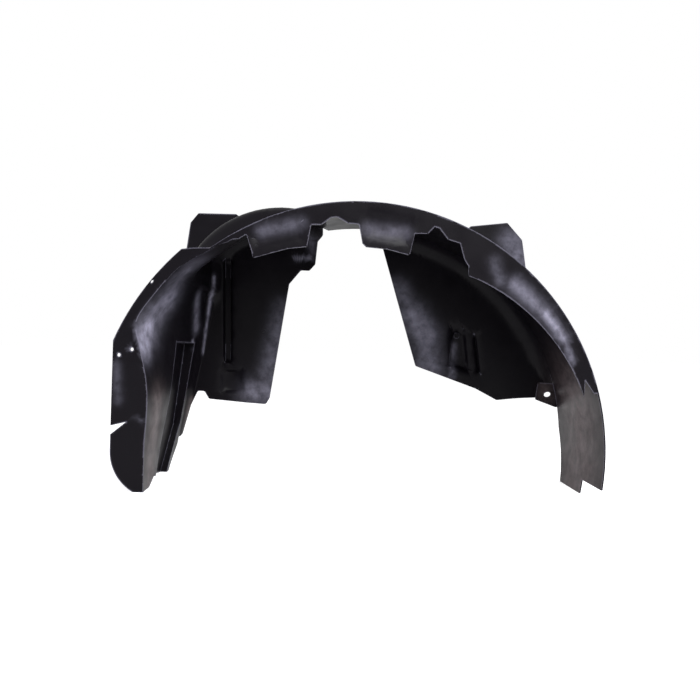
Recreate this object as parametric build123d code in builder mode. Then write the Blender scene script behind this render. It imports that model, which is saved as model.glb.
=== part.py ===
from build123d import *
from math import atan2, cos, degrees, radians, sin, sqrt, tan
import os

# A front wheel arch liner, moulded in one piece from black polypropylene sheet.
# Millimetres. X runs along the car, towards the narrow tail. Y runs inboard, away from the viewer.
# Z is up, and the liner stands on its left leg and its tail at Z = 0.
# A depth is measured inboard from the front rim. A place on the rim or on an inboard wall is an angle
# about the arch centre and a drop below the outside of the barrel; a negative drop stands above it.

# Sheet and barrel
WALL = 2.5                      # thickness of the moulded sheet everywhere
ARCH_RADIUS = 425.0             # outside of the barrel over the wheel
ARCH_HEIGHT = 81.0              # arch centre above the floor
DEPTH = 262.0                   # front rim to the outside of the inboard walls
CORNER_DEPTH = 22.0             # slanted corner between the barrel and the inboard walls, along Y
CORNER_WIDTH = 18.0             # the same corner, measured in from the barrel
LEG_CORNER_WIDTH = 6.0          # the same corner, measured in from the leg
GAP_TRIM = 3.0                  # how far the barrel stops short of that corner in the wall gap

# Left leg, a broad panel that drops from the barrel
SHOULDER_ANGLE = 151.0          # where the barrel ends and the leg begins
LEG_JOIN_ANGLE = 138.0          # where the leg's twisted side leaves the barrel
LEG_SET_IN = 9.0                # how far the upright front edge stands inside the shoulder
LEG_SPLAY = 15.0                # how far the rear foot stands outside the front foot
KNEE_HEIGHT = 110.0             # above the arch centre, where the leg becomes upright
LEG_FOOT_FRONT = 44.0           # depth of the leg's front foot
LEG_ARCH_DEPTH = 72.0           # depth where the raised part of the leg's lower edge is highest
LEG_ARCH_RISE = 13.0            # how far that edge is raised
LEG_FOOT_START = 176.0          # depth where the leg's rear foot starts
LEG_FOOT_END = 196.0            # depth where the leg's rear foot ends
LEG_REAR_RISE = 78.0            # height at which the slanted rear edge meets the inboard wall

# Recess in the leg panel, pushed outward, as depth and height above the floor
LEG_RECESS_TOP_EDGE = [(148.0, 258.0), (226.0, 258.0)]
LEG_RECESS_SIDES = [(226.0, 90.0), (168.0, -25.0), (80.0, -25.0)]
LEG_RECESS_TOP = 8.0            # its floor's place inside the front foot's line at the top
LEG_RECESS_FOOT = 22.0          # its floor's place outside that line at the bottom

# Flange along the front of the left leg
FLANGE_WIDTH = 29.0             # beside the barrel
FLANGE_LEG_WIDTH = 56.0         # beside the leg
FLANGE_START_ANGLE = 127.3      # where the flange leaves the rim
FLANGE_TOP_ANGLE = 132.4        # its upper outer corner
FLANGE_BEND_ANGLE = 157.1       # where its outer edge becomes upright
FLANGE_CHEEK = -11.0            # height from the arch centre where its lower corner starts to round
FLANGE_TOE = 15.0               # how far its foot reaches past the leg panel
SLIT_HEIGHT = 24.0              # middle of the slit's mouth, above the arch centre
SLIT_MOUTH = 15.0               # width of the slit at the flange's edge
SLIT_LENGTH = 26.0              # how far the slit runs in
SLIT_RISE = 14.0                # how far its tip stands above the middle of its mouth

# Screw and clip holes
FLANGE_HOLE = 6.0               # diameter of the three holes in the flange
UPPER_HOLE = (141.9, -25.0)     # angle and drop
LOWER_HOLES = [(33.0, 162.0), (11.0, 152.0)]    # in from the flange's edge, height above the centre
EAR_HOLE = 10.0                 # diameter of the hole in the ear at the tail
EAR_HOLE_ANGLE = 12.9
EAR_HOLE_DROP = 13.5

# Raised shoulder on the left half of the barrel
HUMP_ANGLE = 122.0              # direction of its middle
HUMP_DROP = 145.0               # its middle lies this far below the rim
HUMP_RISE = 55.0                # how far it stands above the barrel
HUMP_SIDE = 162.0               # its middle to its flat left side
HUMP_FRONT = 110.0              # depth at which it reaches full height
HUMP_SLOPE = 32.0               # depth taken by its slanted front
HUMP_LEAN = 62.0                # lean of that front, in degrees

# Front curtain
EDGE_RADIUS = 2.5               # rounding of the corners along its free edge
CURTAIN_LIP = [(140, 8), (122, 8), (120.6, 13), (118.4, 12)]
CURTAIN_LEFT_FLAP = [(119.3, 45), (119.8, 53), (110.3, 62), (105.1, 68), (102.8, 33)]
CURTAIN_BRIDGE = [(100.3, 36), (97.6, 26), (96.2, 26), (93.6, 38), (90.8, 40)]
CURTAIN_RIGHT_FLAP = [(89.8, 72), (88.7, 78), (82.8, 78), (76.2, 80), (76.4, 42)]
CURTAIN_STEPS = [(73.2, 36), (72.2, 21), (70.9, 21), (68.0, 33), (64.9, 30), (62.0, 51), (60.2, 57)]
CURTAIN_HEEL = [(58.8, 71), (56.0, 67)]
BAND_MIDDLE = (35.0, 44.0)      # angle and drop of the even band's edge, half way
BAND_END = 15.0                 # angle where the band runs out at the tail
BAND_END_DROP = 26.0
BAND_NOTCH = (18.6, 17.0)       # tip of the notch between the band's end and the tail
BAND_NOTCH_RIM = 8.0            # drop of the notch's other side
FLAP_DISH = 5.0                 # how far the face of a flap is dished inboard
DISH_DRAFT = 52.0               # lean of the dishes' soft sides, in degrees
LEFT_DISH = [(118.0, 14), (103.6, 14), (105.4, 56), (118.6, 42)]
RIGHT_DISH = [(89.2, 14), (77.2, 14), (77.2, 66), (88.8, 64)]
CHANNEL_START = 47.0            # angles between which the band is dished into a channel
CHANNEL_END = 23.0
CHANNEL_RIM = 9.0               # plain strip left outside the channel
CHANNEL_WIDTH = 30.0            # at its wide end
CHANNEL_TAIL_WIDTH = 18.0       # at its narrow end
CHANNEL_DISH = 4.5

# Inboard walls
WALL_EDGE_RADIUS = 6.0          # rounding of the corners along their free edges
PAN_PUSH = 11.0                 # how far pans and grooves are pushed out of them
PAN_RADIUS = 5.0                # rounding of the pans' corners, seen from the front
PAN_DRAFT = 14.0                # lean of the pans' sides, in degrees
LEFT_WALL_EDGE = [(100.7, 6), (102.6, 17), (104.9, 63), (107.4, 73), (110.1, 67), (115.6, 85), (160, 232)]
LEFT_WALL_FOOT = [(164.6, 229), (166.7, 190), (169, 110), (166.6, 97), (167.1, 83), (172.4, 75), (183, 62)]
RIGHT_WALL_FOOT = [(20, -4), (18.2, 36), (12.7, 46), (14, 119), (21.1, 155), (48.7, 237)]
RIGHT_WALL_EDGE = [(82.9, 34)]
LEFT_GROOVE = [(129, -36), (126.8, -22), (152.6, 130), (154.4, 110)]
LEFT_POCKET = [(156.8, 111), (152.7, 155), (162.8, 178), (165.7, 130)]
BOSS_PAN = [(49.5, 128), (44.7, 104), (28.8, 151), (35.8, 186)]
BOSS_PLACE = (44.7, 129.0)      # round boss on the floor of that pan
BOSS_DIAMETER = 11.0
BOSS_HEIGHT = 6.0
RIGHT_BEAD = [(41.4, 101), (40.2, 94), (25, 132), (26.8, 141)]
BEAD_PUSH = 6.0

# Tabs that stand above the barrel in the plane of the inboard walls, and the ear at the tail
LEFT_TAB_OUTSIDE = [(149, 8), (140.7, -48), (134.5, -97), (129.8, -135), (127.2, -141)]
LEFT_TAB_INSIDE = [(120.2, -97), (117, -40), (124, 8)]
RIGHT_TAB_INSIDE = [(66, 8), (62.1, -72), (55.4, -120), (50.4, -111)]
RIGHT_TAB_OUTSIDE = [(48.6, -97), (44.7, -70), (39.2, -33), (36, 8)]
TAB_RADIUS = 5.0
EAR = [(17.0, 23), (15.5, 1), (8.5, 1), (12.1, 33)]

# Tail
TAIL_STEP_DEPTH = 91.0          # depth of the step in the tail's lower edge
TAIL_STEP_RISE = 25.0           # how much shorter the front part is
TAIL_FOOT_END = 198.0           # depth where the tail's foot ends
TAIL_REAR_RISE = 105.0          # height at which the tail's slanted rear edge becomes upright

# Derived places
CLEAR = 40.0                                              # overrun of cutting shapes past the sheet
LEG_OFFSET = -ARCH_RADIUS * cos(radians(SHOULDER_ANGLE)) - LEG_SET_IN
FLANGE_REACH = LEG_OFFSET + FLANGE_LEG_WIDTH
ARCH_X = (FLANGE_REACH - ARCH_RADIUS) / 2                 # keeps the liner centred on X = 0
FRONT_Y = -(DEPTH + PAN_PUSH) / 2                         # keeps the liner centred on Y = 0
BACK_Y = FRONT_Y + DEPTH
CORNER_ANGLE = degrees(atan2(CORNER_WIDTH, CORNER_DEPTH))
GAP_DEPTH = DEPTH - CORNER_DEPTH - GAP_TRIM
CURTAIN_EDGE = (
    CURTAIN_LIP + CURTAIN_LEFT_FLAP + CURTAIN_BRIDGE + CURTAIN_RIGHT_FLAP + CURTAIN_STEPS + CURTAIN_HEEL
)


def at(x, z):
    """A place in the X-Z plane, measured from the arch centre."""
    return (ARCH_X + x, ARCH_HEIGHT + z)


def rim(angle, drop):
    """A place at an angle about the arch centre, a drop below the outside of the barrel."""
    reach = ARCH_RADIUS - drop
    return at(reach * cos(radians(angle)), reach * sin(radians(angle)))


def facing_front(y):
    """The X-Z plane at a given Y, facing the front, so a push of it goes towards -Y."""
    return Plane.XZ.offset(-y)


def profile(plane, inset, corner=0, leg_corner=0, twisted=True):
    """A section of the arch: the barrel's arc, the leg's side and the floor line.

    The front section follows the barrel to the shoulder and drops to the front foot.
    A twisted section leaves the barrel sooner and runs straight to the splayed rear foot.
    """
    drop = inset + corner
    reach = ARCH_RADIUS - drop
    tail = at(sqrt(reach**2 - ARCH_HEIGHT**2), -ARCH_HEIGHT)
    join = rim(LEG_JOIN_ANGLE, drop)
    leg = LEG_OFFSET - inset
    if twisted:
        foot = at(-leg - LEG_SPLAY + leg_corner, -ARCH_HEIGHT)
    else:
        foot = at(-leg, -ARCH_HEIGHT)
    middle_angle = (LEG_JOIN_ANGLE + SHOULDER_ANGLE) / 2
    along_barrel = (-sin(radians(LEG_JOIN_ANGLE)), cos(radians(LEG_JOIN_ANGLE)))
    with BuildSketch(plane) as section:
        with BuildLine():
            ThreePointArc(tail, rim(90, drop), join)
            if twisted:
                Line(join, foot)
            else:
                Spline(
                    join,
                    rim(middle_angle, inset),
                    rim(SHOULDER_ANGLE, inset),
                    at(-leg, KNEE_HEIGHT),
                    at(-leg, 0),
                    foot,
                    tangents=[along_barrel, (0, -1)],
                )
            Line(foot, tail)
        make_face()
    return section.sketch


def hump_body(inset, back):
    """The raised shoulder: a flat-sided disc run to the inboard wall, with a steep slanted front."""
    middle_x, middle_z = rim(HUMP_ANGLE, HUMP_DROP)
    radius = HUMP_DROP + HUMP_RISE - inset
    full_y = FRONT_Y + HUMP_FRONT
    corner_y = back - CORNER_DEPTH
    with BuildSketch() as disc:
        with Locations((middle_x, middle_z)):
            Circle(radius)
        with Locations((middle_x - HUMP_SIDE + inset, middle_z)):
            Rectangle(2 * radius, 2 * radius, align=(Align.MIN, Align.CENTER), mode=Mode.INTERSECT)
    with BuildPart() as body:
        with BuildSketch(facing_front(full_y)) as front:
            add(disc.sketch)
        extrude(front.sketch, amount=HUMP_SLOPE, taper=HUMP_LEAN)
        extrude(front.sketch, amount=full_y - corner_y)
        with BuildSketch(facing_front(corner_y)) as rear:
            add(disc.sketch)
        extrude(rear.sketch, amount=-CORNER_DEPTH, taper=CORNER_ANGLE)
    return body.part


def recess_body(grow):
    """The recess in the leg panel: its outline seen from the side, down to a leaning floor."""
    places = LEG_RECESS_TOP_EDGE + LEG_RECESS_SIDES
    height = LEG_RECESS_TOP_EDGE[0][1]
    with BuildSketch(Plane.YZ) as side:
        with BuildLine():
            Polyline(*[(FRONT_Y + depth, height) for depth, height in places], close=True)
        make_face()
        if grow > 0:
            offset(amount=grow)
    top = height - ARCH_HEIGHT + CLEAR
    floor = -ARCH_HEIGHT - CLEAR
    lean = (LEG_RECESS_TOP + LEG_RECESS_FOOT) / height
    with BuildPart() as body:
        with BuildSketch(facing_front(BACK_Y)) as section:
            with BuildLine():
                Polyline(
                    at(-LEG_OFFSET + LEG_RECESS_TOP + lean * CLEAR - grow, top),
                    at(-LEG_OFFSET - LEG_RECESS_FOOT - lean * CLEAR - grow, floor),
                    at(-LEG_OFFSET + CLEAR, floor),
                    at(-LEG_OFFSET + CLEAR, top),
                    close=True,
                )
            make_face()
        extrude(section.sketch, amount=DEPTH)
        extrude(side.sketch, amount=-ARCH_RADIUS - CLEAR, mode=Mode.INTERSECT)
    return body.part


def arch_body(inset):
    """The space under the barrel and beside the leg, shrunk by inset."""
    lean = radians(CORNER_ANGLE)
    back = BACK_Y - inset
    corner_y = BACK_Y - CORNER_DEPTH - inset * tan(lean / 2)
    creep = inset * tan((radians(90) - lean) / 2) - inset
    hump = hump_body(inset, back)
    recess = recess_body(WALL - inset)
    sections = [
        profile(facing_front(FRONT_Y), inset, twisted=False),
        profile(facing_front(corner_y), inset),
        profile(facing_front(back), inset, CORNER_WIDTH + creep, LEG_CORNER_WIDTH + creep),
    ]
    with BuildPart() as body:
        loft(sections, ruled=True)
        add(hump)
        add(recess)
    return body.part


def outline(points, rounding):
    """A flat outline through the given places, with its corners rounded."""
    with BuildSketch() as flat:
        with BuildLine():
            FilletPolyline(*points, radius=rounding, close=True)
        make_face()
    return flat.sketch


def rim_outline(places, rounding):
    """A flat outline through places given as angle and drop."""
    return outline([rim(angle, drop) for angle, drop in places], rounding)


def curtain_outline():
    """The front curtain: the rim above, and below it the stepped free edge, left to right."""
    edge = [rim(angle, drop) for angle, drop in CURTAIN_EDGE]
    band_end = rim(BAND_END, BAND_END_DROP)
    hidden = WALL / 2
    left_end = rim(CURTAIN_EDGE[0][0], hidden)
    right_end = rim(BAND_END, hidden)
    with BuildSketch() as flat:
        with BuildLine():
            FilletPolyline(*edge, radius=EDGE_RADIUS)
            ThreePointArc(edge[-1], rim(*BAND_MIDDLE), band_end)
            Polyline(band_end, rim(*BAND_NOTCH), rim(BAND_END, BAND_NOTCH_RIM), right_end)
            ThreePointArc(right_end, rim(90, hidden), left_end)
            Line(left_end, edge[0])
        make_face()
    return flat.sketch


def channel_outline():
    """The long dish in the right-hand band, which narrows towards the tail."""
    angles = (CHANNEL_START, (CHANNEL_START + CHANNEL_END) / 2, CHANNEL_END)
    widths = (CHANNEL_WIDTH, (CHANNEL_WIDTH + CHANNEL_TAIL_WIDTH) / 2, CHANNEL_TAIL_WIDTH)
    outer = [rim(angle, CHANNEL_RIM) for angle in angles]
    inner = [rim(angle, CHANNEL_RIM + width) for angle, width in zip(angles, widths)]
    with BuildSketch() as flat:
        with BuildLine():
            ThreePointArc(*outer)
            Line(outer[2], inner[2])
            ThreePointArc(*reversed(inner))
            Line(inner[0], outer[0])
        make_face()
    return flat.sketch


def flange_outline():
    """The flange beside the barrel and the left leg: rounded above, upright, rounded at its foot."""
    top = rim(FLANGE_TOP_ANGLE, -FLANGE_WIDTH)
    middle = rim((FLANGE_TOP_ANGLE + FLANGE_BEND_ANGLE) / 2, -FLANGE_WIDTH)
    bend = rim(FLANGE_BEND_ANGLE, -FLANGE_WIDTH)
    cheek = at(-FLANGE_REACH, FLANGE_CHEEK)
    toe = at(-LEG_OFFSET - FLANGE_TOE, -ARCH_HEIGHT)
    start = rim(FLANGE_START_ANGLE, 0)
    inside = rim(FLANGE_START_ANGLE, CLEAR)
    mouth_x, mouth_z = at(-FLANGE_REACH, SLIT_HEIGHT)
    opening = profile(Plane.XY, WALL / 2, twisted=False)
    with BuildSketch() as flat:
        with BuildLine():
            Line(inside, start)
            Line(start, top)
            ThreePointArc(top, middle, bend)
            Line(bend, cheek)
            TangentArc(cheek, toe, tangent=(0, -1))
            Polyline(toe, at(-LEG_OFFSET + CLEAR, -ARCH_HEIGHT), inside)
        make_face()
        add(opening, mode=Mode.SUBTRACT)
        with BuildLine():
            Polyline(
                (mouth_x - SLIT_LENGTH, mouth_z + SLIT_MOUTH / 2),
                (mouth_x, mouth_z + SLIT_MOUTH / 2),
                (mouth_x + SLIT_LENGTH, mouth_z + SLIT_RISE),
                (mouth_x, mouth_z - SLIT_MOUTH / 2),
                (mouth_x - SLIT_LENGTH, mouth_z - SLIT_MOUTH / 2),
                close=True,
            )
        make_face(mode=Mode.SUBTRACT)
    return flat.sketch


def plate(shape, y):
    """A flat plate of the sheet's thickness, from y towards +Y."""
    with BuildSketch(facing_front(y)) as face:
        add(shape)
    extrude(face.sketch, amount=-WALL)


def pan(shape, plane, push, draft=PAN_DRAFT):
    """A pan pushed out of a sheet, away from the plane's facing side; the sheet keeps its thickness."""
    with BuildSketch(plane.offset(-WALL)) as outside:
        add(shape)
    extrude(outside.sketch, amount=-push, taper=draft)
    with BuildSketch(plane) as inside:
        add(shape)
        offset(amount=-WALL)
    extrude(inside.sketch, amount=-push, taper=draft, mode=Mode.SUBTRACT)


def side_cut(places, x_from, x_to):
    """Cuts away what lies inside an outline of depth and height, between two places along X."""
    with BuildSketch(Plane.YZ.offset(x_from)) as side:
        with BuildLine():
            Polyline(*[(FRONT_Y + depth, height) for depth, height in places], close=True)
        make_face()
    extrude(side.sketch, amount=x_to - x_from, mode=Mode.SUBTRACT)


envelope = arch_body(0)
cavity = arch_body(WALL)
front_face = facing_front(FRONT_Y)
wall_face = facing_front(BACK_Y - WALL)
rear_cut_y = FRONT_Y + GAP_DEPTH
past_leg = -LEG_OFFSET - CLEAR
past_tail = ARCH_RADIUS + CLEAR
above = ARCH_RADIUS + CLEAR
below = -ARCH_HEIGHT - CLEAR
left_edge = [rim(*place) for place in LEFT_WALL_EDGE + LEFT_WALL_FOOT]
right_edge = [rim(*place) for place in RIGHT_WALL_FOOT + RIGHT_WALL_EDGE]
wall_gap = (
    [(left_edge[0][0], ARCH_HEIGHT + above)] + left_edge
    + [(ARCH_X + past_leg, left_edge[-1][1]), at(past_leg, below)]
    + [at(past_tail, below), (ARCH_X + past_tail, right_edge[0][1])]
    + right_edge + [(right_edge[-1][0], ARCH_HEIGHT + above)]
)
left_tab = rim_outline(LEFT_TAB_OUTSIDE + LEFT_TAB_INSIDE, TAB_RADIUS)
right_tab = rim_outline(RIGHT_TAB_INSIDE + RIGHT_TAB_OUTSIDE, TAB_RADIUS)
ear = rim_outline(EAR, EDGE_RADIUS)
gap = outline(wall_gap, WALL_EDGE_RADIUS)
wall_pans = [rim_outline(places, PAN_RADIUS) for places in (LEFT_GROOVE, LEFT_POCKET, BOSS_PAN)]
right_bead = rim_outline(RIGHT_BEAD, EDGE_RADIUS)
flap_dishes = [rim_outline(places, PAN_RADIUS) for places in (LEFT_DISH, RIGHT_DISH)]
channel = channel_outline()
curtain = curtain_outline()
flange = flange_outline()

with BuildPart() as wheel_arch_liner:
    add(envelope)
    add(cavity, mode=Mode.SUBTRACT)

    # Tabs above the barrel, in the plane of the inboard walls
    plate(left_tab, BACK_Y - WALL)
    plate(right_tab, BACK_Y - WALL)

    # Pans and a bead pushed out of the inboard walls, and the boss in one of the pans
    for shape in wall_pans:
        pan(shape, wall_face, PAN_PUSH)
    pan(right_bead, wall_face, BEAD_PUSH)
    with BuildSketch(wall_face.offset(-PAN_PUSH - WALL / 2)) as boss:
        with Locations(rim(*BOSS_PLACE)):
            Circle(BOSS_DIAMETER / 2)
    extrude(boss.sketch, amount=BOSS_HEIGHT + WALL / 2)

    # Gap between the two inboard walls, and their lower edges
    with BuildSketch(facing_front(rear_cut_y)):
        add(gap)
    extrude(amount=GAP_DEPTH - DEPTH - CLEAR, mode=Mode.SUBTRACT)

    # Lower edge of the left leg, with its two feet and its slanted rear edge
    leg_edge = [
        (LEG_FOOT_FRONT, 0),
        (LEG_ARCH_DEPTH, LEG_ARCH_RISE),
        (LEG_FOOT_START, 0),
        (LEG_FOOT_END, 0),
        (DEPTH, LEG_REAR_RISE),
        (DEPTH + CLEAR, LEG_REAR_RISE),
        (DEPTH + CLEAR, -CLEAR),
        (LEG_FOOT_FRONT, -CLEAR),
    ]
    side_cut(leg_edge, ARCH_X + past_leg, ARCH_X)

    # Lower edge of the tail, shorter at the front, and its slanted rear edge
    tail_front = [
        (-CLEAR, -CLEAR),
        (-CLEAR, TAIL_STEP_RISE),
        (TAIL_STEP_DEPTH, TAIL_STEP_RISE),
        (TAIL_STEP_DEPTH, -CLEAR),
    ]
    tail_rear = [
        (TAIL_FOOT_END, 0),
        (GAP_DEPTH, TAIL_REAR_RISE),
        (DEPTH + CLEAR, TAIL_REAR_RISE),
        (DEPTH + CLEAR, -CLEAR),
        (TAIL_FOOT_END, -CLEAR),
    ]
    side_cut(tail_front, ARCH_X, ARCH_X + past_tail)
    side_cut(tail_rear, ARCH_X, ARCH_X + past_tail)

    # Front curtain with its dished flaps and channel, and the flange beside the leg
    plate(curtain, FRONT_Y)
    plate(flange, FRONT_Y)
    for shape in flap_dishes:
        pan(shape, front_face, FLAP_DISH, DISH_DRAFT)
    pan(channel, front_face, CHANNEL_DISH, DISH_DRAFT)

    # Ear inside the tail's rear edge
    plate(ear, rear_cut_y - WALL)

    # Screw and clip holes
    lower_holes = [at(-FLANGE_REACH + inward, height) for inward, height in LOWER_HOLES]
    with Locations(front_face):
        with Locations(rim(*UPPER_HOLE), *lower_holes):
            Hole(radius=FLANGE_HOLE / 2, depth=2 * WALL)
    with Locations(facing_front(rear_cut_y - WALL)):
        with Locations(rim(EAR_HOLE_ANGLE, EAR_HOLE_DROP)):
            Hole(radius=EAR_HOLE / 2, depth=2 * WALL)

wheel_arch_liner.part.label = "wheel_arch_liner"
os.makedirs("parts", exist_ok=True)
export_step(wheel_arch_liner.part, "parts/wheel_arch_liner.step")
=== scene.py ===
from math import radians

import bmesh
import bpy
import numpy as np
from mathutils import Matrix, Vector


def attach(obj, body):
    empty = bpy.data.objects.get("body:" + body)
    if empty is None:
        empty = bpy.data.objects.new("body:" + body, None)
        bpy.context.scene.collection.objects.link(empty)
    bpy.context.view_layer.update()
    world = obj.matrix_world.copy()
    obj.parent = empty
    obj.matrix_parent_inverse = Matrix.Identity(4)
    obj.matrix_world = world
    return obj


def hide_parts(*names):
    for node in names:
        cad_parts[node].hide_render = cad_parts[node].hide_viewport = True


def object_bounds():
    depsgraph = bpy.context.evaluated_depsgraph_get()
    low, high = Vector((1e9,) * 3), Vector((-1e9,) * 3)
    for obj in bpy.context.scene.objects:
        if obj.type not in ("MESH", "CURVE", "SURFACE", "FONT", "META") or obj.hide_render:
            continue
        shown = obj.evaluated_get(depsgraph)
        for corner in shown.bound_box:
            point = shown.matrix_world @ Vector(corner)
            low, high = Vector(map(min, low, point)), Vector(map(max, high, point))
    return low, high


# A black moulded wheel arch liner, stood on its leg and tail before a white ground.
# Metres, in the frame of the CAD model: +X along the car, +Y inboard, +Z up.

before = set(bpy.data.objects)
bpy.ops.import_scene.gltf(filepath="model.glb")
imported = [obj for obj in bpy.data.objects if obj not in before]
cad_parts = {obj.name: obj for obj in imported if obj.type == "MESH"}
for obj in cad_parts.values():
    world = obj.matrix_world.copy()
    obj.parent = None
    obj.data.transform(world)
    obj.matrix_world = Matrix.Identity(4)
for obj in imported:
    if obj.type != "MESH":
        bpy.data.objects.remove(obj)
cad_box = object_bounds()
scene = bpy.context.scene

MM = 0.001


def linear(code):
    """An sRGB hex colour as linear red, green, blue and alpha."""
    parts = np.array([int(code[i:i + 2], 16) for i in (1, 3, 5)]) / 255
    light = np.where(parts <= 0.04045, parts / 12.92, ((parts + 0.055) / 1.055) ** 2.4)
    return (*light.tolist(), 1.0)


def add_node(tree, kind, settings=None, links=None):
    """Adds a node, sets its properties and input sockets, and links its inputs to other sockets."""
    node = tree.nodes.new(kind)
    for name, value in (settings or {}).items():
        if name in node.inputs.keys():
            node.inputs[name].default_value = value
        else:
            setattr(node, name, value)
    for name, socket in (links or {}).items():
        tree.links.new(socket, node.inputs[name])
    return node


# The liner: a copy of the CAD sheet with finer faces, softened folds and rounded sheet edges
FACE_LIMIT = 13 * MM          # longest edge of its faces
FLAT_ANGLE = radians(0.3)     # faces that turn less than this are one face
SHEET_ANGLE = radians(80)     # a sharper turn is an edge of the sheet, a gentler one is a fold
SHARP_ANGLE = radians(60)     # a sharper turn left after the rounding stays crisp
EDGE_ROUNDING = 0.7 * MM      # rounding that moulding leaves on the edges of the sheet
EDGE_FACES = 2                # faces across that rounding
JOIN_DISTANCE = 0.01 * MM     # points nearer than this are one point
HALVINGS = 9                  # most times that long edges are halved
FOLD_ROUNDS = 4               # times that the folds are evened out
FOLD_SHARE = 0.5              # share of the way that a point moves each time


def rounded_copy(source, name):
    """A copy of a CAD sheet: flat faces are joined, sheet edges rounded and long edges halved until short.

    Faces that reach from one rounded edge to another are split, and the points of rounded edges are held.
    """
    mesh = source.data.copy()
    mesh.name = name
    shape = bmesh.new()
    shape.from_mesh(mesh)
    bmesh.ops.remove_doubles(shape, verts=shape.verts, dist=JOIN_DISTANCE)
    bmesh.ops.dissolve_limit(shape, angle_limit=FLAT_ANGLE, verts=shape.verts, edges=shape.edges)
    held = shape.verts.layers.float.new("held")
    strip = shape.faces.layers.int.new("strip")
    edges = [edge for edge in shape.edges if edge.is_manifold and edge.calc_face_angle() > SHEET_ANGLE]
    made = bmesh.ops.bevel(
        shape,
        geom=edges,
        offset=EDGE_ROUNDING,
        segments=EDGE_FACES,
        profile=0.5,
        affect="EDGES",
        clamp_overlap=True,
    )
    for face in made["faces"]:
        face[strip] = 1
    bmesh.ops.triangulate(shape, faces=shape.faces)
    for _ in range(HALVINGS):
        long_edges = [edge for edge in shape.edges if edge.calc_length() > FACE_LIMIT]
        if not long_edges:
            break
        bmesh.ops.subdivide_edges(shape, edges=long_edges, cuts=1)
        bmesh.ops.triangulate(shape, faces=[face for face in shape.faces if len(face.verts) > 3])
    rim_verts = {vert for face in shape.faces if face[strip] for vert in face.verts}
    crossing = [
        edge for edge in shape.edges
        if rim_verts.issuperset(edge.verts) and not any(face[strip] for face in edge.link_faces)
    ]
    bmesh.ops.subdivide_edges(shape, edges=crossing, cuts=1)
    bmesh.ops.triangulate(shape, faces=[face for face in shape.faces if len(face.verts) > 3])
    for vert in shape.verts:
        vert[held] = any(face[strip] for face in vert.link_faces)
    shape.to_mesh(mesh)
    shape.free()
    piece = bpy.data.objects.new(name, mesh)
    scene.collection.objects.link(piece)
    return piece


def read(items, name, width, kind=np.float32):
    """One property of all the items of a mesh, as rows of numbers."""
    values = np.empty(len(items) * width, dtype=kind)
    items.foreach_get(name, values)
    return values.reshape(-1, width)


def soften_folds(mesh, rounds):
    """Rounds the folds: each point that isn't held moves part of the way to the mean of its neighbours."""
    points = read(mesh.vertices, "co", 3).astype(float)
    ends = read(mesh.edges, "vertices", 2, np.int32)
    free = FOLD_SHARE * (read(mesh.attributes["held"].data, "value", 1) == 0)
    first, last = np.concatenate([ends, ends[:, ::-1]]).T
    count = np.bincount(first, minlength=len(points))[:, None]
    for _ in range(rounds):
        total = np.stack([np.bincount(first, points[last, axis], len(points)) for axis in range(3)], axis=1)
        points += free * (total / count - points)
    mesh.vertices.foreach_set("co", points.ravel())
    mesh.update()


# The arch's own measures, in mm and degrees about its axis
ARCH_RADIUS = 425.0                                   # outside of its barrel
ARCH_HEIGHT = 81.0                                    # axis above the floor
ARCH_X = round(cad_box[1][0] / MM - ARCH_RADIUS, 3)   # the tail touches the end of the box
FRONT = round(cad_box[0][1] / MM, 1)                  # front rim, along Y

# The leg's front fold swells out of the barrel, and the curtain's lip beside it is drawn in
SWELL = 12.0                  # how far the fold swells out
SWELL_RISE = (126, 137)       # angles between which the swell grows
SWELL_FALL = (150, 157)       # angles between which it fades
SWELL_DEPTH = 240.0           # depth at which it has run out
SWELL_INSIDE = 380.0          # points nearer the axis stay
FLANGE_EDGE = 452.0           # distance from the axis at which the flange no longer moves
FLANGE_EASE = 27.0            # width over which that movement fades
LIP_RISE = (122, 126)         # angles between which the lip is drawn in
LIP_FALL = (141, 142)
LIP_DEPTH = 4.0               # the lip lies in front of this depth
LIP_INSIDE = 410.0            # points nearer the axis aren't on the lip
LIP_DROP = 2.7                # drop at which the lip ends up, just inside the barrel

# The right wall's foot and the ear meet
FOOT_SHIFTS = [               # corners of the foot, as X and Z, and how far each moves
    ((400, 228), (11, -34)),
    ((366, 203), (21, -16)),
    ((367, 164), (12, 0)),
]
FOOT_REACH = 24.0             # how far each of these shifts is felt
FOOT_BACK = (100.6, 103)      # only what lies behind this, along Y, moves
EAR_SHIFT = 12.0              # how far the ear's free edge reaches further in
EAR_DEPTH = 235.5             # depth of the ear, give or take its thickness
EAR_THICKNESS = 2.5
EAR_DROPS = (2.6, 40)
EAR_ANGLES = (5, 20)
EAR_FULL_DROP = 30.0          # drop at which the ear moves all the way


def ease(value, start, end):
    """0 before start, 1 after end and a smooth rise between."""
    share = np.clip((value - start) / (end - start), 0, 1)
    return share * share * (3 - 2 * share)


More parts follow.
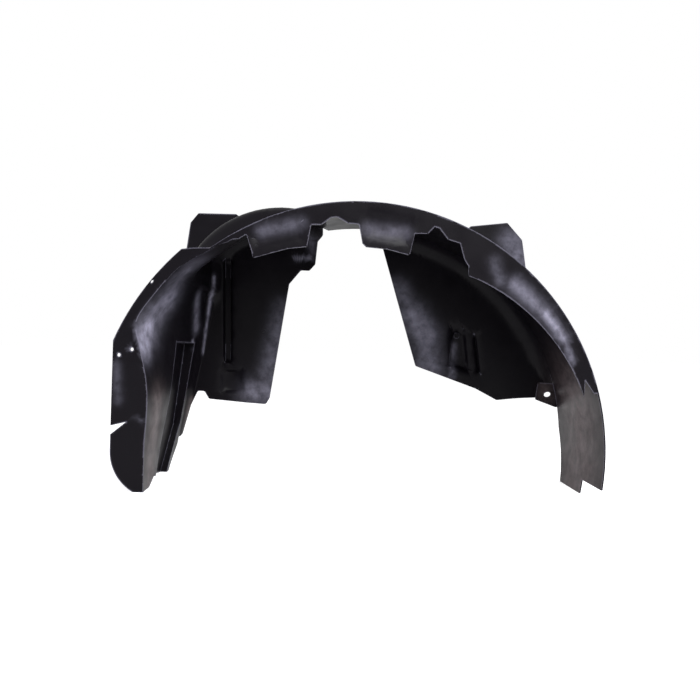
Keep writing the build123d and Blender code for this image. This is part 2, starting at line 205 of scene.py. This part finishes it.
def fit_to_photo(mesh):
    """Moves points of the sheet: the leg's front fold outwards, the right wall's foot and the ear together.

    The swell moves points away from the arch axis by SWELL, eased in and out along the arch, falling
    evenly to nothing with depth and across the flange. The foot's corners move by their shifts, each
    felt as exp of minus (distance over reach) squared. The ear moves inwards in step with its drop.
    """
    points = read(mesh.vertices, "co", 3).astype(float) / MM
    across = points[:, 0] - ARCH_X
    height = points[:, 2] - ARCH_HEIGHT
    reach = np.hypot(across, height)
    angle = np.degrees(np.arctan2(height, across))
    depth = points[:, 1] - FRONT
    out = np.stack([across, np.zeros(len(points)), height], axis=1) / reach[:, None]
    swell = SWELL * ease(angle, *SWELL_RISE) * (1 - ease(angle, *SWELL_FALL))
    across_flange = np.clip((FLANGE_EDGE - reach) / FLANGE_EASE, 0, 1)
    swell *= np.clip(1 - depth / SWELL_DEPTH, 0, 1) * across_flange * (reach > SWELL_INSIDE)
    lip = np.clip(ARCH_RADIUS - LIP_DROP - reach, 0, None)
    lip *= ease(angle, *LIP_RISE) * (1 - ease(angle, *LIP_FALL))
    swell += lip * (depth < LIP_DEPTH) * (reach > LIP_INSIDE)
    points += swell[:, None] * out

    foot = np.zeros_like(points)
    weight = np.full(len(points), 1e-6)
    for (x, z), (along, up) in FOOT_SHIFTS:
        near = np.exp(-((points[:, 0] - x) ** 2 + (points[:, 2] - z) ** 2) / FOOT_REACH**2)
        foot += near[:, None] * np.array([along, 0, up])
        weight += near
    foot *= (np.minimum(weight, 1) / weight * ease(points[:, 1], *FOOT_BACK))[:, None]
    points += foot

    drop = ARCH_RADIUS - reach
    on_ear = np.abs(depth - EAR_DEPTH) < EAR_THICKNESS
    for value, (least, most) in ((drop, EAR_DROPS), (angle, EAR_ANGLES)):
        on_ear &= (value > least) & (value < most)
    points -= (EAR_SHIFT * on_ear * np.clip(drop / EAR_FULL_DROP, 0, 1))[:, None] * out
    mesh.vertices.foreach_set("co", (points * MM).ravel())
    mesh.update()


liner = rounded_copy(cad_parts["wheel_arch_liner"], "moulded_liner")
fit_to_photo(liner.data)
soften_folds(liner.data, FOLD_ROUNDS)
liner.data.shade_smooth()
liner.data.set_sharp_from_angle(angle=SHARP_ANGLE)
even_normals = liner.modifiers.new("even_normals", "WEIGHTED_NORMAL")
even_normals.keep_sharp = True

# Painted light: pale bluish painted highlights where light falls on the plastic or glints off it, and a
# brown-grey low down that stands for dust and for painted light.
# Each mark runs from one place to another, in mm, with a radius in mm and a strength.
# Painted highlights on the leg's inside, where light falls on it and glints off it.
LEG_PAINTED_HIGHLIGHTS = [
    ((-380, -122, 248), (-374, -98, 285), 24, 1.0),       # below the front fold
    ((-374, -98, 285), (-345, -80, 332), 36, 0.5),
    ((-345, -85, 340), (-300, -100, 394), 30, 0.28),
    ((-306, 108, 396), (-317, 114, 317), 4, 0.9),         # back corner
    ((-317, 114, 317), (-328, 122, 239), 3.5, 0.55),
    ((-321, 48, 349), (-333, 85, 289), 12, 0.5),
    ((-338, 79, 266), (-340, 87, 243), 3, 0.9),
]
# Painted light on the walls, tab and flaps, where light falls past the barrel, and a painted reflection in
# the right curtain's channel.
FACE_PAINTED_HIGHLIGHTS = [
    ((-222, 123, 158), (-195, 123, 158), 26, 0.42),       # left wall
    ((-190, 123, 190), (-162, 123, 333), 22, 0.26),
    ((-140, 123, 443), (-103, 123, 444), 4, 0.6),
    ((-107, 123, 482), (-102, 123, 461), 10, 0.3),
    ((80, 123, 386), (108, 123, 336), 20, 0.36),          # right wall
    ((112, 123, 330), (142, 123, 285), 26, 0.62),
    ((142, 123, 285), (152, 123, 219), 26, 0.42),
    ((201, 134, 267), (199, 123, 203), 7, 0.4),
    ((261, -132, 371), (314, -130, 323), 13, 0.4),        # channel of the right curtain
    ((314, -130, 323), (346, -129, 281), 9, 0.9),
    ((346, -129, 281), (360, -135, 246), 6, 0.45),
    ((224, -137, 409), (234, -137, 378), 10, 0.18),
    ((316, 123, 492), (335, 123, 448), 24, 0.32),         # right tab
    ((-173, -134, 450), (-109, -133, 466), 11, 0.22),     # flaps of the curtain
    ((7, -133, 457), (71, -132, 454), 12, 0.22),
    ((-415, -137, 216), (-410, -137, 156), 8, 0.14),      # flange of the leg
    ((-382, -136, 126), (-366, -137, 119), 2.5, 0.3),
]
# Brown-grey low on the leg, across the tail's inside and on the ear: dust, and painted light on faces that
# the light falls on.
LEG_DUST_AND_PAINTED_LIGHT = [
    ((-359, -82, 150), (-365, -94, 20), 30, 0.5),
    ((-349, 119, 134), (-352, 119, 80), 10, 0.5),
]
TAIL_DUST_AND_PAINTED_LIGHT = [((418, -20, 140), (420, -20, 20), 95, 0.55)]
EAR_DUST_AND_PAINTED_LIGHT = [((388, 98, 185), (392, 98, 168), 18, 0.4)]
FULL_FACING = 0.5             # a face turned this far, as a cosine, takes the whole mark


def mark_amount(mesh, marks, towards):
    """A soft mark along each line, on the faces turned one way.

    Each is its strength times exp of minus (distance over radius) squared, and the largest is kept.
    """
    points = read(mesh.vertices, "co", 3)
    facing = np.clip(read(mesh.vertices, "normal", 3) @ np.array(towards) / FULL_FACING, 0, 1)
    amount = np.zeros(len(points))
    for start, end, radius, strength in marks:
        start = np.array(start) * MM
        line = np.array(end) * MM - start
        along = np.clip((points - start) @ line / (line @ line), 0, 1)
        distance = np.linalg.norm(points - start - along[:, None] * line, axis=1)
        amount = np.maximum(amount, strength * np.exp(-(distance / (radius * MM)) ** 2))
    return amount * facing


def store(mesh, name, amount):
    """Keeps one number for each point of a mesh, for its material."""
    mesh.attributes.new(name, "FLOAT", "POINT").data.foreach_set("value", amount.astype(np.float32))


INWARD = (1, 0, 0)            # the leg's inside
OUTBOARD = (0, -1, 0)         # walls, curtain and ear
FORWARD = (-1, 0, 0)          # the tail's inside
# The painted highlights, kept as a number for each point.
store(liner.data, "painted_highlight", np.maximum(
    mark_amount(liner.data, LEG_PAINTED_HIGHLIGHTS, INWARD), mark_amount(liner.data, FACE_PAINTED_HIGHLIGHTS, OUTBOARD)
))
# The dust and painted light, kept as a number for each point.
store(liner.data, "dust_and_painted_light", np.maximum.reduce([
    mark_amount(liner.data, LEG_DUST_AND_PAINTED_LIGHT, INWARD),
    mark_amount(liner.data, TAIL_DUST_AND_PAINTED_LIGHT, FORWARD),
    mark_amount(liner.data, EAR_DUST_AND_PAINTED_LIGHT, OUTBOARD),
]))

MOTTLE_SIZE = 18 * MM         # size of the mottling in the painted highlights and the dust
MOTTLE_RANGE = (0.45, 1.2)    # how much the mottling weakens and strengthens the painted highlights and the dust
SHEEN_SIZE = 45 * MM          # size of the patches of duller and brighter sheen
SHEEN_RANGE = (0.3, 0.46)     # roughness of these patches
NOISE_RANGE = (0.3, 0.7)      # most of a noise lies between these
BLACK = linear("#0b090d")
# Colour of the painted highlights and of the painted sheet edges.
PAINTED_HIGHLIGHT_COLOUR = linear("#8d8b9b")
# Colour of the dust and painted light.
DUST_AND_LIGHT_COLOUR = linear("#6b5f5f")
EDGE_RANGE = (0.7, 1.0)       # share of being held between which an edge takes the painted highlight
EDGE_HIGHLIGHT = 0.32             # painted highlight on the rounded edges of the sheet


def limits(before, after):
    """Settings that bring numbers from one range to another."""
    return {"From Min": before[0], "From Max": before[1], "To Min": after[0], "To Max": after[1]}


def moulded_black_polypropylene():
    """Moulded polypropylene coloured through with carbon black."""
    # To the eye a deep black with a waxy, uneven sheen, with painted highlights on the sheet edges and in
    # pale bluish patches, and brown-grey dust and painted light low down.
    # The specular level is low because the white surround shows in every reflection.
    material = bpy.data.materials.new("moulded_black_polypropylene")
    material.use_nodes = True
    tree = material.node_tree
    shader = tree.nodes["Principled BSDF"]
    shader.inputs["IOR"].default_value = 1.49
    shader.inputs["Specular IOR Level"].default_value = 0.07
    place = {"Vector": add_node(tree, "ShaderNodeTexCoord").outputs["Object"]}
    mottle_settings = {"Scale": 1 / MOTTLE_SIZE, "Detail": 4.0, "Roughness": 0.6}
    mottle = add_node(tree, "ShaderNodeTexNoise", mottle_settings, place)
    mottle_limits = limits(NOISE_RANGE, MOTTLE_RANGE)
    patchy = add_node(tree, "ShaderNodeMapRange", mottle_limits, {"Value": mottle.outputs["Fac"]})
    # Painted highlight along the rounded sheet edges, where their roll would catch the light.
    edge = add_node(tree, "ShaderNodeAttribute", {"attribute_name": "held"})
    edge_limits = limits(EDGE_RANGE, (0.0, EDGE_HIGHLIGHT))
    painted_edge = add_node(tree, "ShaderNodeMapRange", edge_limits, {"Value": edge.outputs["Fac"]})
    layer = add_node(tree, "ShaderNodeMixRGB", {"Color1": BLACK, "Color2": PAINTED_HIGHLIGHT_COLOUR}, {"Fac": painted_edge.outputs[0]})
    # Painted highlights, then the brown-grey of dust and painted light, are mixed over the black.
    for name, tint in (("painted_highlight", PAINTED_HIGHLIGHT_COLOUR), ("dust_and_painted_light", DUST_AND_LIGHT_COLOUR)):
        mark_node = add_node(tree, "ShaderNodeAttribute", {"attribute_name": name})
        amount = add_node(tree, "ShaderNodeMath", {"operation": "MULTIPLY", "use_clamp": True})
        tree.links.new(mark_node.outputs["Fac"], amount.inputs[0])
        tree.links.new(patchy.outputs[0], amount.inputs[1])
        below = {"Color1": layer.outputs[0], "Fac": amount.outputs[0]}
        layer = add_node(tree, "ShaderNodeMixRGB", {"Color2": tint}, below)
    tree.links.new(layer.outputs[0], shader.inputs["Base Color"])
    sheen = add_node(tree, "ShaderNodeTexNoise", {"Scale": 1 / SHEEN_SIZE, "Detail": 2.0}, place)
    sheen_limits = limits(NOISE_RANGE, SHEEN_RANGE)
    rough = add_node(tree, "ShaderNodeMapRange", sheen_limits, {"Value": sheen.outputs["Fac"]})
    tree.links.new(rough.outputs[0], shader.inputs["Roughness"])
    return material


liner.data.materials.clear()
liner.data.materials.append(moulded_black_polypropylene())
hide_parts("wheel_arch_liner")
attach(liner, "root")

# Camera: level, square to the outboard side, rolled a little
CAMERA_PLACE = (-0.01794, -1.2165, 0.2522)
CAMERA_ROLL = radians(1.6)
CAMERA_LENS = 32.66           # mm
CAMERA_SENSOR = 36.0          # mm wide
CAMERA_REACH = 50.0           # how far it sees, past the edge of the floor

camera_data = bpy.data.cameras.new("camera")
camera_data.sensor_width = CAMERA_SENSOR
camera_data.lens = CAMERA_LENS
camera_data.clip_end = CAMERA_REACH
camera = bpy.data.objects.new("camera", camera_data)
scene.collection.objects.link(camera)
level = Matrix.Rotation(radians(90), 4, "X")
camera.matrix_world = Matrix.Translation(CAMERA_PLACE) @ level @ Matrix.Rotation(CAMERA_ROLL, 4, "Z")
scene.camera = camera


def lamp(name, place, aim, size, power, colour):
    """A square soft lamp at a place, turned to face another place."""
    data = bpy.data.lights.new(name, "AREA")
    data.shape = "SQUARE"
    data.size = size
    data.energy = power
    data.color = linear(colour)[:3]
    light = bpy.data.objects.new(name, data)
    scene.collection.objects.link(light)
    turn = (Vector(aim) - Vector(place)).to_track_quat("-Z", "Y").to_matrix().to_4x4()
    light.matrix_world = Matrix.Translation(place) @ turn
    return light


MIDDLE = (0.0, 0.0, 0.28)     # where the lamps aim
lamp("soft_box_front", (0.5, -1.7, 1.7), MIDDLE, 0.8, 60, "#ffffff")
lamp("soft_box_left", (-1.9, -0.9, 0.9), MIDDLE, 0.7, 20, "#f0f0ff")
lamp("soft_box_right", (1.9, -0.9, 0.9), MIDDLE, 0.7, 20, "#f0f0ff")

# White ground: the floor takes the shadow, and what shows behind it is white
FLOOR_SIDE = 60.0
FLOOR_LIFT = 0.62             # glow of the floor where it is seen directly
SURROUND_LIGHT = 0.5          # strength of the white surround as a light


def seen_directly(tree):
    """1 for rays from the camera, in reflections and through glass, and 0 for light that falls on things."""
    path = add_node(tree, "ShaderNodeLightPath")
    first = add_node(tree, "ShaderNodeMath", {"operation": "MAXIMUM"})
    tree.links.new(path.outputs["Is Camera Ray"], first.inputs[0])
    tree.links.new(path.outputs["Is Glossy Ray"], first.inputs[1])
    both = add_node(tree, "ShaderNodeMath", {"operation": "MAXIMUM"})
    tree.links.new(first.outputs[0], both.inputs[0])
    tree.links.new(path.outputs["Is Transmission Ray"], both.inputs[1])
    return both.outputs[0]


def matt_white_paper():
    """Matt white paper that takes the shadow, lifted towards white where it is seen directly."""
    material = bpy.data.materials.new("matt_white_paper")
    material.use_nodes = True
    tree = material.node_tree
    tree.nodes.remove(tree.nodes["Principled BSDF"])
    lift = add_node(tree, "ShaderNodeMath", {"operation": "MULTIPLY"})
    tree.links.new(seen_directly(tree), lift.inputs[0])
    lift.inputs[1].default_value = FLOOR_LIFT
    paper = add_node(tree, "ShaderNodeBsdfDiffuse", {"Color": linear("#e6e6e6")})
    glow = add_node(tree, "ShaderNodeEmission", {"Color": linear("#ffffff")}, {"Strength": lift.outputs[0]})
    both = add_node(tree, "ShaderNodeAddShader")
    tree.links.new(paper.outputs[0], both.inputs[0])
    tree.links.new(glow.outputs[0], both.inputs[1])
    tree.links.new(both.outputs[0], tree.nodes["Material Output"].inputs["Surface"])
    return material


def white_surround():
    """A white surround: plain white where it is seen directly, softer as a light."""
    world = bpy.data.worlds.new("white_surround")
    world.use_nodes = True
    tree = world.node_tree
    back = tree.nodes["Background"]
    back.inputs["Color"].default_value = linear("#ffffff")
    light_limits = limits((0.0, 1.0), (SURROUND_LIGHT, 1.0))
    strength = add_node(tree, "ShaderNodeMapRange", light_limits, {"Value": seen_directly(tree)})
    tree.links.new(strength.outputs[0], back.inputs["Strength"])
    return world


floor_mesh = bpy.data.meshes.new("floor")
half = FLOOR_SIDE / 2
corners = [(-half, -half, 0), (half, -half, 0), (half, half, 0), (-half, half, 0)]
floor_mesh.from_pydata(corners, [], [(0, 1, 2, 3)])
floor_mesh.materials.append(matt_white_paper())
floor = bpy.data.objects.new("floor", floor_mesh)
scene.collection.objects.link(floor)
scene.world = white_surround()
scene.view_settings.view_transform = "Standard"
